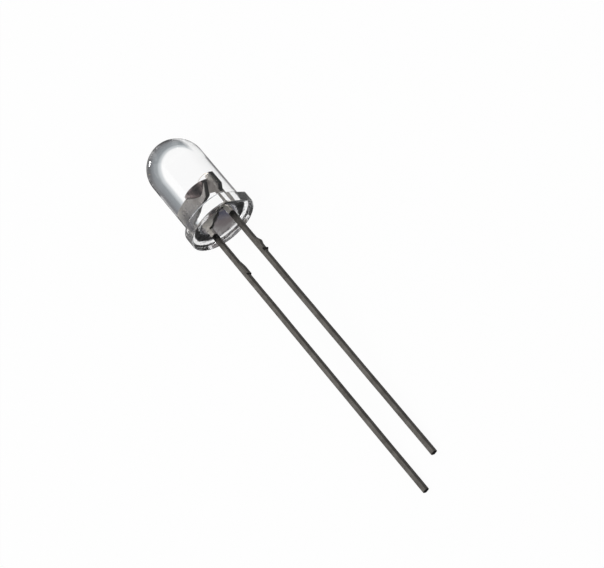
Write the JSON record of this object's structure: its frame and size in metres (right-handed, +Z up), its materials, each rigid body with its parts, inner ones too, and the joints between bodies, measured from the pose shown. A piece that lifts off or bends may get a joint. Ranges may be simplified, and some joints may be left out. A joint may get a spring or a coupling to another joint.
{
  "type": "through hole led",
  "caption": "Through-hole LED with a round water-clear domed lens, a flanged foot with a polarity flat, and straight square leads of unequal length.",
  "frame": {"origin": "on the ground, under the middle of the lamp's length and in the upright plane through the lens axis", "axes": "+X along the leads, from the dome to the lead tips; +Y towards the post lead, on the side of the flange's flat; +Z up from the ground that the lamp lies on"},
  "size_m": [0.035, 0.0055, 0.006],
  "materials": {
    "clear_epoxy": "gloss",
    "tinned_steel": "satin",
    "silver_glue": "satin",
    "chip_crystal": "satin",
    "gold_wire": "gloss"
  },
  "bodies": {
    "root": {"lens": "clear_epoxy", "anvil_lead": "tinned_steel", "post_lead": "tinned_steel", "chip_glue": "silver_glue", "chip": "chip_crystal", "bond_wire": "gold_wire"}
  },
  "joints": []
}
